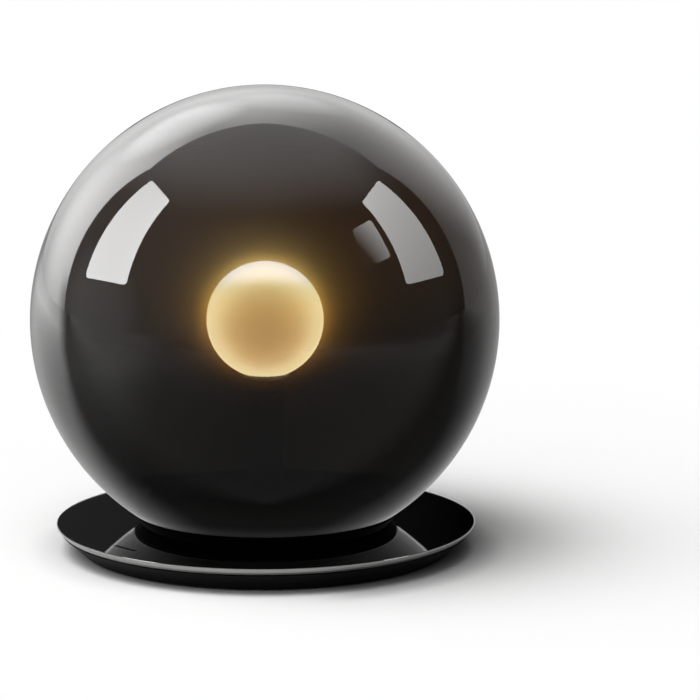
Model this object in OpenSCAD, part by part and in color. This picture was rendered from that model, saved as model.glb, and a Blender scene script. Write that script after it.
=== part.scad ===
// Globe table lamp. A smoked glass globe stands on a black collar above a gloss
// black round plate, and a small opal orb glows at the globe's centre.
// Millimetres, Z up, origin on the table under the middle of the lamp, front at -Y.

/* [Globe] */
// Outer diameter of the glass globe
globe_d = 200; // [184:1:220]
// Thickness of the globe's glass
globe_wall = 3; // [2:0.1:4]
// Outer diameter of the ground edge that the globe stands on
neck_d = 114; // [108:1:120]

/* [Orb] */
// Outer diameter of the opal orb
orb_d = 50; // [44:1:56]
// Thickness of the orb's glass
orb_wall = 2; // [1.5:0.1:2.5]
// Diameter of the hole under the orb
orb_hole_d = 16; // [15:0.5:18]
// Width of the flat seat round that hole
orb_flat_w = 2; // [1:0.1:2.5]
// Thickness of the washer between the orb and its ring
orb_washer_t = 0.5; // [0.3:0.1:1]

/* [Orb ring] */
// Wall of the ring's sleeve
ring_wall = 0.9; // [0.7:0.1:1.2]
// Thickness of the ring's flange
ring_flange_t = 1.2; // [1:0.1:2]
// How far the sleeve stands up inside the orb
ring_lip = 0.6; // [0.3:0.1:1.5]
// Number of bayonet lugs
lug_count = 3; // [2:1:3]
// Angle that each lug spans
lug_angle = 16; // [12:1:20]
// Height of each lug
lug_h = 1.2; // [0.8:0.1:1.4]
// How far a lug reaches in from the sleeve
lug_depth = 0.9; // [0.6:0.1:1.1]
// Turn that frees the orb
unlock_angle = 25; // [20:1:30]

/* [Stem and light source] */
// Outer diameter of the stem
stem_d = 16; // [14:1:18]
// Bore of the stem
stem_bore_d = 10; // [9:0.5:11]
// Diameter of the threaded tail of the stem
tail_d = 10; // [9:0.5:11]
// Bore of the tail
tail_bore_d = 6; // [5:0.5:7]
// Height of the finned part of the heat sink
sink_h = 10; // [8:1:14]
// Number of grooves round the heat sink
fin_count = 3; // [2:1:4]
// Width of each groove
fin_groove_w = 1.4; // [1:0.1:1.6]
// Depth of each groove
fin_groove_depth = 2; // [1:0.1:2.4]
// Length of the heat sink's spigot in the stem
sink_spigot_h = 9; // [6:1:14]
// Wire hole through the heat sink
sink_hole_d = 4.4; // [4:0.2:5]
// Diameter of the light-source board
led_board_d = 11; // [9:0.5:11.4]
// Thickness of the light-source board
led_board_t = 1; // [0.8:0.1:1.6]
// Side of one light chip
chip_w = 1.8; // [1.2:0.1:2]
// Height of one light chip
chip_h = 0.7; // [0.5:0.1:1]
// Radius of the ring of chips
chip_ring_r = 3.4; // [2.8:0.1:3.6]
// Number of chips round the middle one
chip_count = 4; // [3:1:5]

/* [Collar] */
// Height of the collar above the plate
collar_h = 4.6; // [3:0.1:8]
// How far the collar is set in from the globe's edge
collar_inset = 0.5; // [0.2:0.1:1.5]
// Width of the collar's shoulder, from the plate's hole to its rim
collar_seat_w = 5; // [4:0.1:6]
// How far the collar's side leans in at its foot
collar_lean = 3; // [2:0.1:3.2]
// Height of the collar's upright rim under the globe
collar_rim_h = 0.6; // [0.4:0.1:1]
// Wall of the centring spigot
spigot_wall = 4; // [3.6:0.1:5]
// Height of the centring spigot above the seat
spigot_h = 5.5; // [4:0.1:9]
// Thickness of the silicone seat under the globe
gasket_t = 0.6; // [0.4:0.1:1.5]
// Thickness of the cover inside the collar
neck_cover_t = 1.5; // [1:0.1:2.5]
// Width of the ledge that the cover lies on
neck_ledge_w = 1.5; // [1:0.1:2]

/* [Base] */
// Diameter of the top plate
plate_d = 180; // [176:1:192]
// Thickness of the top plate
plate_t = 2.8; // [2.2:0.1:4]
// How far the plate's bright edge leans in at the bottom
edge_lean = 1.5; // [0.8:0.1:2]
// How far the plate's bright edge bulges out halfway down
edge_bulge = 0.2; // [0:0.05:0.3]
// Size of the small chamfers on the plate's edge
edge_ease = 0.3; // [0.2:0.05:0.5]
// Thickness of the cushion under the plate
cushion_t = 0.6; // [0.4:0.1:1]
// How far the cushion is set back from the pan's rim
cushion_inset = 3; // [2:0.5:4]
// How far the pan's rim is set back from the plate's edge
rim_step = 2; // [1.6:0.1:4]
// How far the pan draws in from its rim to its foot
pan_taper = 8.5; // [7:0.5:11]
// Wall of the pan, measured outwards
pan_wall = 2.5; // [2:0.1:3]
// Thickness of the pan's top
pan_top_t = 1.4; // [1:0.1:1.8]
// Diameter of the hub that holds the stem
hub_d = 26; // [22:1:30]
// Thickness of that hub
hub_t = 2.4; // [2:0.1:3]
// Thickness of the bottom cover
cover_t = 1.5; // [1.2:0.1:2]
// Number of rubber feet
foot_count = 6; // [3:3:6]
// Diameter of one rubber foot
foot_d = 10; // [8:0.5:12]
// How far the feet stand below the pan
foot_stand = 1; // [0.6:0.1:2]
// How deep the feet are let into the cover
foot_pocket = 0.6; // [0.4:0.1:0.8]
// How far the ballast ring reaches past the collar's foot
ballast_reach = 4.5; // [4:0.1:6]
// Bore of the ballast ring
ballast_bore_d = 36; // [32:1:42]
// Thickness of the ballast ring
ballast_t = 4; // [3:0.1:4.2]

/* [Dimmer key] */
// Direction of the key on the plate
key_angle = -138.4; // [-150:0.2:-120]
// How far the key lies in from the plate's edge
key_inset = 11.5; // [10:0.5:13]
// Length of the key along its arc
key_len = 13.3; // [10:0.1:16]
// Width of the key
key_w = 1.8; // [1.4:0.1:2.4]
// Travel of the key
key_travel = 0.5; // [0.3:0.1:0.6]
// Thickness of the key's flange
key_flange_t = 0.6; // [0.5:0.1:0.8]
// How far the flange stands out all round
key_flange_w = 0.9; // [0.6:0.1:1.1]

/* [Control board] */
// Half the angle that the board spans
board_half = 28; // [24:1:32]
// Inner radius of the board
board_in_r = 24; // [22:1:26]
// Thickness of the board
board_t = 0.8; // [0.6:0.1:1]
// Height of the push switch
switch_h = 0.7; // [0.5:0.1:0.9]
// Side of the push switch
switch_w = 3; // [2.5:0.1:3.4]
// Height of the parts on the board
parts_h = 1.4; // [1:0.1:1.6]
// Diameter of the posts that the board hangs from
post_d = 4.4; // [4:0.2:5]
// How far the outer posts lie in from the board's edge
post_inset = 10; // [8:0.5:12]
// How far the inner post lies out from the wires
post_step = 6; // [5:0.5:8]
// How far the posts lie in from the board's sides, as an angle
post_side = 8; // [6:1:10]

/* [Leads and gland] */
// Diameter of one inner wire
wire_d = 1.2; // [1:0.1:1.4]
// Spacing of the two wires of a pair
wire_pitch = 2; // [1.6:0.1:2.2]
// Radius of the wires' bends
wire_bend_r = 3; // [2.5:0.1:3.5]
// Height of the wires' way out of the stem, above the pan
wire_exit_h = 5; // [4:0.1:6]
// Distance from the stem at which the wires go down
wire_drop_r = 30; // [28:1:34]
// Direction of the cord gland
gland_angle = 90; // [80:1:100]
// Outer diameter of the cord gland
gland_d = 5.2; // [4.6:0.1:5.4]
// Bore of the cord gland
gland_bore_d = 3.5; // [3:0.1:3.8]
// Radial length of the terminal block
terminal_w = 6; // [5:0.5:7]
// Angle that the terminal block spans
terminal_angle = 10; // [8:1:12]
// Height of the terminal block
terminal_h = 3.6; // [3:0.1:4]

/* [Fasteners] */
// Thread of the collar screws
collar_screw_d = 3; // [2.5:0.5:3]
// Thread of the cover screws
cover_screw_d = 2.5; // [2:0.5:3]
// Thread of the board screws
board_screw_d = 2; // [1.6:0.1:2.2]
// Thickness of the stem nut
nut_t = 2.4; // [2:0.1:3]
// Width across the stem nut's flats
nut_flats = 14; // [13:0.5:17]
// Thickness of the stem washer
washer_t = 1; // [0.6:0.1:1.4]

/* [Hidden] */
$fn = 96;

// Clearances: a fixed fit, a turning fit, a free gap and a wide gap
fit = 0.1;
turn_fit = 0.08;
gap = 0.2;
free = 0.3;
// How far a cutter runs past the face that it cuts
over = 1;

// Screws: how many hold the collar and the cover, how far they grip, how high their heads are
screw_count = 3;
collar_screw_grip = 5.5;
collar_head_h = 1.6;
cover_screw_grip = 3;
cover_head_h = cover_t * 0.7;
board_screw_grip = 1.6;
board_head_h = 1;

// Heights of the base, from the table up
z_pan = foot_stand;
z_cover_top = z_pan + cover_t;
z_nut = z_cover_top + free;
z_washer = z_nut + nut_t;
z_hub = z_washer + washer_t;
z_pan_top = z_hub + hub_t;
pan_h = z_pan_top - z_pan;
z_pan_under = z_pan_top - pan_top_t;
z_plate = z_pan_top + cushion_t;
z_top = z_plate + plate_t;
z_seat = z_top + collar_h;
z_neck = z_seat + gasket_t;
z_spigot_top = z_seat + spigot_h;

// Globe
globe_r = globe_d / 2;
neck_r = neck_d / 2;
neck_drop = sqrt(globe_r ^ 2 - neck_r ^ 2);
z_centre = z_neck + neck_drop;
neck_in_r = sqrt((globe_r - globe_wall) ^ 2 - neck_drop ^ 2);

// Collar
collar_r = neck_r - collar_inset;
register_r = collar_r - collar_seat_w;
spigot_r = neck_in_r - 2 * free;
collar_bore_r = spigot_r - spigot_wall;
collar_screw_r = (collar_bore_r + register_r) / 2;
plate_hole_r = register_r + free;

// Pan and plate
plate_r = plate_d / 2;
pan_rim_r = plate_r - rim_step;
pan_foot_r = pan_rim_r - pan_taper;
function pan_r(z) = pan_foot_r + (z - z_pan) * pan_taper / pan_h;
cover_r = pan_foot_r - pan_wall - free;
ballast_r = register_r + ballast_reach;
terminal_r = ballast_r + 2 * gap;
boss_r = 3.2;
boss_pitch_r = terminal_r + terminal_w + free + boss_r;
screw_angles = [for (i = [0:screw_count - 1]) key_angle + 60 + i * 360 / screw_count];
foot_angles = [for (i = [0:foot_count - 1]) key_angle + 30 + i * 360 / foot_count];

// Dimmer key and control board
key_r = plate_r - key_inset;
key_span = key_len / key_r * 180 / PI;
z_key_flange = z_pan_under - fit - key_flange_t;
z_board_top = z_key_flange - key_travel - fit - switch_h;
z_board = z_board_top - board_t;
board_r = pan_r(z_board) - pan_wall - 2 * gap;
switch_r = key_r - 1;
post_angle = board_half - post_side;
post_places = [
  [wire_drop_r + post_step, post_angle],
  [board_r - post_inset, -post_angle],
  [board_r - post_inset, post_angle]
];

// Orb and what carries it
orb_r = orb_d / 2;
orb_hole_r = orb_hole_d / 2;
orb_flat_r = orb_hole_r + orb_flat_w;
z_flat = z_centre - sqrt(orb_r ^ 2 - orb_flat_r ^ 2);
orb_floor_t = sqrt(orb_r ^ 2 - orb_flat_r ^ 2) - sqrt((orb_r - orb_wall) ^ 2 - orb_hole_r ^ 2);
z_ring = z_flat - orb_washer_t - ring_flange_t;
z_ring_top = z_flat + max(orb_floor_t, 1) + ring_lip;
sleeve_r = orb_hole_r - fit;
sleeve_bore_r = sleeve_r - ring_wall;
post_r = sleeve_bore_r - turn_fit;
slot_floor_r = sleeve_bore_r - lug_depth - fit;
z_lug = z_ring + 0.6;
z_sink_seat = z_ring - gap;
z_stem_top = z_sink_seat - sink_h;
z_post_top = z_ring_top + 2 * gap;
z_led_top = z_post_top + led_board_t;

// Wires and gland
z_wire = z_pan_top + wire_exit_h;
header_span = post_side - (post_d / 2 + free) / terminal_r * 180 / PI;
grommet_bore_r = wire_pitch / 2 + wire_d / 2 + free;
grommet_r = grommet_bore_r + 1;
z_supply = z_board_top + parts_h / 2;
gland_block_w = 2 * gland_d;
gland_in_r = boss_pitch_r - boss_r + gland_d / 2;
z_gland = (z_cover_top + z_pan_top) / 2;

// Shared shapes

// A ring with a rectangular section
module ring(r_out, r_in, z0, z1) {
  translate([0, 0, z0]) difference() {
    cylinder(h = z1 - z0, r = r_out);
    translate([0, 0, -over]) cylinder(h = z1 - z0 + 2 * over, r = r_in);
  }
}

// A slice of such a ring, from angle a0 over span degrees
module sector(r_out, r_in, z0, z1, a0, span) {
  rotate([0, 0, a0]) rotate_extrude(angle = span)
    translate([r_in, z0]) square([r_out - r_in, z1 - z0]);
}

// Puts its children at a radius and an angle, turned to face outwards
module polar(r, a) {
  rotate([0, 0, a]) translate([r, 0, 0]) children();
}

// A slice round the key, grown by g on every side
module key_slice(g, z0, z1) {
  grown = key_span + 2 * g / key_r * 180 / PI;
  sector(key_r + key_w / 2 + g, key_r - key_w / 2 - g, z0, z1, key_angle - grown / 2, grown);
}

// Round-head screw standing head down, with its shank going up from z
module screw_up(d, z, shank, head_h) {
  translate([0, 0, z - head_h]) cylinder(h = head_h, r = d * 0.92);
  translate([0, 0, z]) cylinder(h = shank, r = d / 2);
}

// Base

module rubber_feet() {
  color("#1b1b1b") for (a = foot_angles) polar(boss_pitch_r, a)
    cylinder(h = foot_stand + foot_pocket, r = foot_d / 2);
}

module bottom_cover() {
  color("#202022") difference() {
    translate([0, 0, z_pan]) cylinder(h = cover_t, r = cover_r);
    for (a = foot_angles) polar(boss_pitch_r, a)
      translate([0, 0, z_pan - over]) cylinder(h = over + foot_pocket, r = foot_d / 2 + fit);
    for (a = screw_angles) polar(boss_pitch_r, a) {
      translate([0, 0, z_pan - over]) cylinder(h = over, r = cover_screw_d + fit);
      cover_screw_body(fit);
    }
  }
}

// Countersunk screw with its head flush with the cover's underside, grown by g
module cover_screw_body(g) {
  translate([0, 0, z_pan])
    cylinder(h = cover_head_h, r1 = cover_screw_d + g, r2 = cover_screw_d / 2 + g);
  translate([0, 0, z_pan]) cylinder(h = cover_t + cover_screw_grip, r = cover_screw_d / 2 + g);
}

module cover_screws() {
  socket_h = 0.8;
  color("#8a8c90") for (a = screw_angles) polar(boss_pitch_r, a) difference() {
    cover_screw_body(0);
    translate([0, 0, z_pan - over]) cylinder(h = over + socket_h, r = cover_screw_d * 0.45, $fn = 6);
  }
}

module pan_body() {
  translate([0, 0, z_pan]) cylinder(h = pan_h, r1 = pan_foot_r, r2 = pan_rim_r);
}

module pan_hollow() {
  translate([0, 0, z_pan - over]) cylinder(
    h = z_pan_under - z_pan + over,
    r1 = pan_r(z_pan - over) - pan_wall, r2 = pan_r(z_pan_under) - pan_wall
  );
}

// The solid block at the back of the pan that the gland goes through
module gland_block() {
  intersection() {
    pan_body();
    rotate([0, 0, gland_angle]) translate([gland_in_r, -gland_block_w / 2, z_cover_top])
      cube([pan_rim_r - gland_in_r, gland_block_w, z_pan_top - z_cover_top]);
  }
}

module base_pan() {
  color("#141416") difference() {
    union() {
      difference() {
        pan_body();
        pan_hollow();
      }
      translate([0, 0, z_hub]) cylinder(h = hub_t, r = hub_d / 2);
      for (a = screw_angles) polar(boss_pitch_r, a)
        translate([0, 0, z_cover_top]) cylinder(h = z_pan_under - z_cover_top + fit, r = boss_r);
      for (p = post_places) polar(p[0], key_angle + p[1])
        translate([0, 0, z_board_top]) cylinder(h = z_pan_under - z_board_top + fit, r = post_d / 2);
      gland_block();
    }
    translate([0, 0, z_hub - over]) cylinder(h = hub_t + 2 * over, r = tail_d / 2 + fit);
    for (a = screw_angles) {
      polar(collar_screw_r, a)
        translate([0, 0, z_pan_under - over])
          cylinder(h = pan_top_t + 2 * over, r = collar_screw_d / 2 + fit);
      polar(boss_pitch_r, a)
        translate([0, 0, z_cover_top - over])
          cylinder(h = over + cover_screw_grip + fit, r = cover_screw_d / 2 + fit / 2);
    }
    for (p = post_places) polar(p[0], key_angle + p[1])
      translate([0, 0, z_board_top - over])
        cylinder(h = over + board_screw_grip + fit, r = board_screw_d / 2 + fit / 2);
    polar(wire_drop_r, key_angle)
      translate([0, 0, z_pan_under - over])
        cylinder(h = pan_top_t + 2 * over, r = grommet_r + fit / 2);
    key_slice(gap, z_pan_under - over, z_pan_top + over);
    rotate([0, 0, gland_angle]) translate([gland_in_r - over, 0, z_gland]) rotate([0, 90, 0])
      cylinder(h = plate_r, r = gland_d / 2 + fit / 2);
  }
}

module ballast_ring() {
  board_clear = board_half + 4;
  color("#5d6064") difference() {
    sector(ballast_r, ballast_bore_d / 2, z_pan_under - ballast_t, z_pan_under,
      key_angle + board_clear, 360 - 2 * board_clear);
    for (a = screw_angles) polar(collar_screw_r, a)
      translate([0, 0, z_pan_under - ballast_t - over])
        cylinder(h = ballast_t + 2 * over, r = collar_screw_d + free);
  }
}

module plate_cushion() {
  color("#0b0b0b") difference() {
    ring(pan_rim_r - cushion_inset, register_r + 2 * free, z_pan_top, z_plate);
    key_slice(2 * gap, z_pan_top - over, z_plate + over);
  }
}

module top_plate() {
  foot_edge_r = plate_r - edge_lean;
  edge_h = plate_t - 2 * edge_ease;
  steps = 6;
  bright_edge = [for (i = [0:steps]) let (t = i / steps)
    [foot_edge_r + edge_lean * t + 4 * edge_bulge * t * (1 - t), edge_ease + edge_h * t]
  ];
  color("#0a0a0b") difference() {
    translate([0, 0, z_plate]) rotate_extrude($fn = 180) polygon(concat(
      [[plate_hole_r, 0], [foot_edge_r - edge_ease, 0]],
      bright_edge,
      [[plate_r - edge_ease, plate_t], [plate_hole_r, plate_t]]
    ));
    key_slice(gap, z_plate - over, z_top + over);
  }
}

// Collar and globe

module collar() {
  ledge_r = collar_bore_r + neck_ledge_w;
  color("#0d0d0e") difference() {
    rotate_extrude() polygon([
      [collar_bore_r, z_pan_top],
      [register_r, z_pan_top],
      [register_r, z_top],
      [collar_r - collar_lean, z_top],
      [collar_r, z_seat - collar_rim_h],
      [collar_r, z_seat],
      [spigot_r, z_seat],
      [spigot_r, z_spigot_top],
      [ledge_r, z_spigot_top],
      [ledge_r, z_spigot_top - neck_cover_t],
      [collar_bore_r, z_spigot_top - neck_cover_t]
    ]);
    for (a = screw_angles) polar(collar_screw_r, a)
      translate([0, 0, z_pan_top - over])
        cylinder(h = over + collar_screw_grip + 2 * free, r = collar_screw_d / 2 + fit / 2);
  }
}

module collar_screws() {
  color("#8a8c90") for (a = screw_angles) polar(collar_screw_r, a)
    screw_up(collar_screw_d, z_pan_under, pan_top_t + collar_screw_grip, collar_head_h);
}

module neck_gasket() {
  color("#121212") ring(collar_r, spigot_r + gap, z_seat, z_neck);
}

module neck_cover() {
  color("#101011") ring(
    collar_bore_r + neck_ledge_w - gap, stem_d / 2 + free,
    z_spigot_top - neck_cover_t, z_spigot_top
  );
}

module globe() {
  color([0.13, 0.12, 0.115, 0.75]) difference() {
    translate([0, 0, z_centre]) sphere(r = globe_r, $fn = 180);
    translate([0, 0, z_centre]) sphere(r = globe_r - globe_wall, $fn = 180);
    translate([0, 0, z_neck - globe_d]) cylinder(h = globe_d, r = globe_r);
  }
}

// Stem and light source

module stem() {
  color("#0f0f10") difference() {
    union() {
      translate([0, 0, z_nut]) cylinder(h = z_pan_top - z_nut + over, r = tail_d / 2);
      translate([0, 0, z_pan_top]) cylinder(h = z_stem_top - z_pan_top, r = stem_d / 2);
    }
    translate([0, 0, z_nut - over]) cylinder(h = z_stem_top, r = tail_bore_d / 2);
    translate([0, 0, z_wire - sink_hole_d]) cylinder(h = z_stem_top, r = stem_bore_d / 2);
    rotate([0, 0, key_angle]) translate([0, 0, z_wire]) rotate([0, 90, 0])
      cylinder(h = stem_d, r = sink_hole_d / 2);
  }
}

module stem_washer() {
  color("#8a8c90") ring(nut_flats / 2 + 1, tail_d / 2 + gap, z_washer, z_hub);
}

module stem_nut() {
  color("#9a9ca0") translate([0, 0, z_nut]) difference() {
    cylinder(h = nut_t, r = nut_flats / sqrt(3), $fn = 6);
    translate([0, 0, -over]) cylinder(h = nut_t + 2 * over, r = tail_d / 2 + fit / 2);
  }
}

module heat_sink() {
  pitch = sink_h / (fin_count + 1);
  core_r = stem_d / 2;
  groove_r = core_r - fin_groove_depth;
  bore_r = sink_hole_d / 2;
  tail_r = stem_bore_d / 2 - fit / 2;
  half_w = fin_groove_w / 2;
  grooves = [for (i = [1:fin_count]) let (z = z_stem_top + i * pitch) each [
    [core_r, z - half_w], [groove_r, z - half_w], [groove_r, z + half_w], [core_r, z + half_w]
  ]];
  color("#151516") difference() {
    rotate_extrude() polygon(concat(
      [[bore_r, z_stem_top - sink_spigot_h], [tail_r, z_stem_top - sink_spigot_h]],
      [[tail_r, z_stem_top], [core_r, z_stem_top]],
      grooves,
      [[core_r, z_sink_seat], [post_r, z_sink_seat], [post_r, z_post_top], [bore_r, z_post_top]]
    ));
    for (i = [0:lug_count - 1]) bayonet_slot(i * 360 / lug_count);
  }
}

// The turn and the way up that one lug takes
module bayonet_slot(a) {
  side = 1.5;
  start = a - lug_angle / 2 - side;
  sector(post_r + over, slot_floor_r, z_lug - fit, z_lug + lug_h + fit,
    start, lug_angle + unlock_angle + 2 * side);
  sector(post_r + over / 2, slot_floor_r - fit / 2, z_lug + lug_h / 2, z_post_top + over,
    start + unlock_angle, lug_angle + 3 * side);
}

module led_board() {
  color("#f2f0e8") translate([0, 0, z_post_top]) cylinder(h = led_board_t, r = led_board_d / 2);
}

module led_chips() {
  color("#f5d266") {
    translate([-chip_w / 2, -chip_w / 2, z_led_top]) cube([chip_w, chip_w, chip_h]);
    for (i = [0:chip_count - 1]) polar(chip_ring_r, i * 360 / chip_count)
      translate([-chip_w / 2, -chip_w / 2, z_led_top]) cube([chip_w, chip_w, chip_h]);
  }
}

// Orb

module orb() {
  color("#f3e3bd") difference() {
    translate([0, 0, z_centre]) sphere(r = orb_r, $fn = 144);
    translate([0, 0, z_centre]) sphere(r = orb_r - orb_wall, $fn = 144);
    translate([0, 0, z_flat - orb_d]) cylinder(h = orb_d, r = orb_r);
    translate([0, 0, z_flat - over]) cylinder(h = orb_r, r = orb_hole_r);
  }
}

module orb_ring() {
  color("#c4c5c7") {
    rotate_extrude() polygon([
      [sleeve_bore_r, z_ring],
      [orb_flat_r - fit, z_ring],
      [orb_flat_r - fit, z_ring + ring_flange_t],
      [sleeve_r, z_ring + ring_flange_t],
      [sleeve_r, z_ring_top],
      [sleeve_bore_r, z_ring_top]
    ]);
    for (i = [0:lug_count - 1])
      sector(sleeve_r - ring_wall / 2, sleeve_bore_r - lug_depth, z_lug, z_lug + lug_h,
        i * 360 / lug_count - lug_angle / 2, lug_angle);
  }
}

module orb_washer() {
  color("#dddddd") ring(orb_flat_r - fit, sleeve_r + fit, z_flat - orb_washer_t, z_flat);
}

// Controls and wiring

module dimmer_key() {
  color("#060606") {
    key_slice(0, z_key_flange, z_top);
    key_slice(key_flange_w, z_key_flange, z_key_flange + key_flange_t);
  }
}

module control_board() {
  color("#15402a") difference() {
    sector(board_r, board_in_r, z_board, z_board_top, key_angle - board_half, 2 * board_half);
    for (p = post_places) polar(p[0], key_angle + p[1])
      translate([0, 0, z_board - over]) cylinder(h = board_t + 2 * over, r = board_screw_d / 2 + fit);
  }
}

module board_screws() {
  color("#8a8c90") for (p = post_places) polar(p[0], key_angle + p[1])
    screw_up(board_screw_d, z_board, board_t + board_screw_grip, board_head_h);
}

module push_switch() {
  color("#3a3b3d") polar(switch_r, key_angle)
    translate([-switch_w / 2, -switch_w / 2, z_board_top]) cube([switch_w, switch_w, switch_h]);
}

module board_parts() {
  coil_w = 8;
  chip_side = 5;
  can_r = 2;
  color("#26272a") {
    polar(terminal_r + terminal_w / 2, key_angle + 4)
      translate([-coil_w / 2, -coil_w / 2, z_board_top]) cube([coil_w, coil_w, parts_h]);
    polar(terminal_r - coil_w, key_angle - 8)
      translate([-chip_side / 2, -chip_side / 2, z_board_top]) cube([chip_side, chip_side, parts_h * 0.6]);
    for (a = [10, 16]) polar(terminal_r - coil_w, key_angle + a)
      translate([0, 0, z_board_top]) cylinder(h = parts_h, r = can_r);
  }
}

module board_header() {
  color("#e8e6df") sector(terminal_r + terminal_w, terminal_r, z_board_top, z_board_top + parts_h,
    key_angle - board_half, header_span);
}

module terminal_block() {
  color("#d8d6cf") sector(terminal_r + terminal_w, terminal_r, z_pan_under - terminal_h, z_pan_under,
    gland_angle - terminal_angle / 2, terminal_angle);
}

module supply_wires() {
  a0 = gland_angle + terminal_angle / 2;
  span = key_angle - board_half + 360 - a0;
  color("#a02020") for (s = [-1, 1]) rotate([0, 0, a0]) rotate_extrude(angle = span)
    translate([terminal_r + terminal_w / 2 + s * wire_pitch / 2, z_supply]) circle(r = wire_d / 2);
}

// One wire: down the stem, out through its side and down to the board
module led_wire(y) {
  translate([0, y, z_wire + wire_bend_r])
    cylinder(h = z_post_top - z_wire - wire_bend_r, r = wire_d / 2);
  translate([wire_bend_r, y, z_wire + wire_bend_r]) rotate([90, 0, 0])
    rotate([0, 0, 180]) rotate_extrude(angle = 90) translate([wire_bend_r, 0]) circle(r = wire_d / 2);
  translate([wire_bend_r, y, z_wire]) rotate([0, 90, 0])
    cylinder(h = wire_drop_r - 2 * wire_bend_r, r = wire_d / 2);
  translate([wire_drop_r - wire_bend_r, y, z_wire - wire_bend_r]) rotate([90, 0, 0])
    rotate_extrude(angle = 90) translate([wire_bend_r, 0]) circle(r = wire_d / 2);
  translate([wire_drop_r, y, z_board_top])
    cylinder(h = z_wire - wire_bend_r - z_board_top, r = wire_d / 2);
}

module led_wires() {
  color("#b8b4a6") rotate([0, 0, key_angle]) for (s = [-1, 1]) led_wire(s * wire_pitch / 2);
}

module wire_grommet() {
  flange_r = grommet_r + 1;
  flange_t = 0.8;
  color("#1a1a1a") polar(wire_drop_r, key_angle) rotate_extrude() polygon([
    [grommet_bore_r, z_pan_under - flange_t],
    [flange_r, z_pan_under - flange_t],
    [flange_r, z_pan_under],
    [grommet_r, z_pan_under],
    [grommet_r, z_pan_top],
    [flange_r, z_pan_top],
    [flange_r, z_pan_top + flange_t],
    [grommet_bore_r, z_pan_top + flange_t]
  ]);
}

module cord_gland() {
  color("#151515") rotate([0, 0, gland_angle]) translate([gland_in_r, 0, z_gland]) rotate([0, 90, 0])
    difference() {
      cylinder(h = pan_rim_r - gland_in_r, r = gland_d / 2);
      translate([0, 0, -over]) cylinder(h = pan_rim_r, r = gland_bore_d / 2);
    }
}

rubber_feet();
bottom_cover();
cover_screws();
base_pan();
ballast_ring();
plate_cushion();
top_plate();
collar();
collar_screws();
neck_gasket();
neck_cover();
stem();
stem_washer();
stem_nut();
heat_sink();
led_board();
led_chips();
led_wires();
wire_grommet();
control_board();
board_screws();
push_switch();
board_parts();
board_header();
terminal_block();
supply_wires();
cord_gland();
dimmer_key();
globe();
orb();
orb_ring();
orb_washer();
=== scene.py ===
"""Globe table lamp: looks, light and camera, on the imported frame. Metres, Z up, front at -Y."""

import math

import bmesh
import bpy
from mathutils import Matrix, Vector


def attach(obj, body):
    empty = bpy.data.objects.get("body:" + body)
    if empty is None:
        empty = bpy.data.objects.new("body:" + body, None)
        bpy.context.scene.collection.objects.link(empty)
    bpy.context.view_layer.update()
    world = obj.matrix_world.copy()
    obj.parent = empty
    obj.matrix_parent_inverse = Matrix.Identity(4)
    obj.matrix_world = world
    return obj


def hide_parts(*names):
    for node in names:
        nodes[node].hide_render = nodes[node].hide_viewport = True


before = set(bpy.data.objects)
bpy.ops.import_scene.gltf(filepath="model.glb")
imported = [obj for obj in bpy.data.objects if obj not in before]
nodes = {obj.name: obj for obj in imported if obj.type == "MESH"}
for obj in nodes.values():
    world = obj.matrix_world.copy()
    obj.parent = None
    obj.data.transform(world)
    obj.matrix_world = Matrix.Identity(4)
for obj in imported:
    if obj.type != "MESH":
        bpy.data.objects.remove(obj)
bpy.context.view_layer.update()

# Sizes of the lamp, as in the part's source
GLOBE_R = 0.100
GLOBE_WALL = 0.003
GLOBE_MID = Vector((0.0, 0.0, 0.099364))
NECK_Z = 0.0172
ORB_R = 0.025
ORB_WALL = 0.002
ORB_FLAT_Z = 0.076451
ORB_FLAT_R = 0.0100
ORB_HOLE_R = 0.008
PLATE_TOP_Z = 0.012
PLATE_FOOT_Z = 0.0092
PLATE_R = 0.090
COLLAR_FOOT_R = 0.0535

# The camera stands in front, a little above the globe
VIEW_RISE = math.radians(9.84)
VIEW_FAR = 1.5
LENS_MM = 180.70
SENSOR_MM = 36.0
CLIP_NEAR = 0.05
CLIP_FAR = 50.0
AIM_RIGHT = 0.03619
AIM_DROP = 0.01319


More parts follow.
